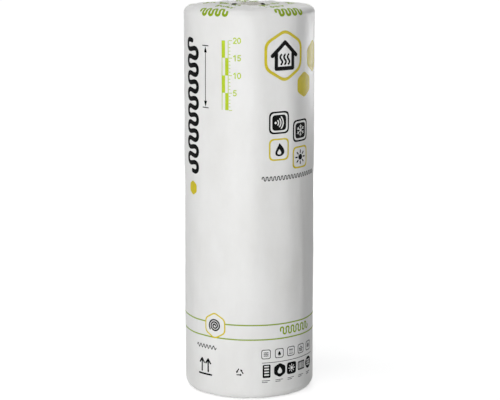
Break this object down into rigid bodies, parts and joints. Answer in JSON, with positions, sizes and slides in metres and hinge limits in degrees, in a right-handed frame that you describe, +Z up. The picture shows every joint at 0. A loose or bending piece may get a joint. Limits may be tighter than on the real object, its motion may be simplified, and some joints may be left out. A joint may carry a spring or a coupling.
{
  "type": "insulation roll",
  "caption": "Upright roll of wound mineral wool felt with a small eye, in a printed white film that is turned in over both ends.",
  "frame": {"origin": "middle of the bottom end, on the floor", "axes": "+Z up along the roll's axis, -Y towards the side with the main print"},
  "size_m": [0.3999, 0.4, 1.2],
  "materials": {
    "printed_film": "satin white polyethylene film with a green, yellow and black print",
    "mineral_wool": "matt pale felt of fine mineral fibres"
  },
  "bodies": {
    "root": {"film_wrap": "printed_film", "wool_roll": "mineral_wool"}
  },
  "joints": []
}
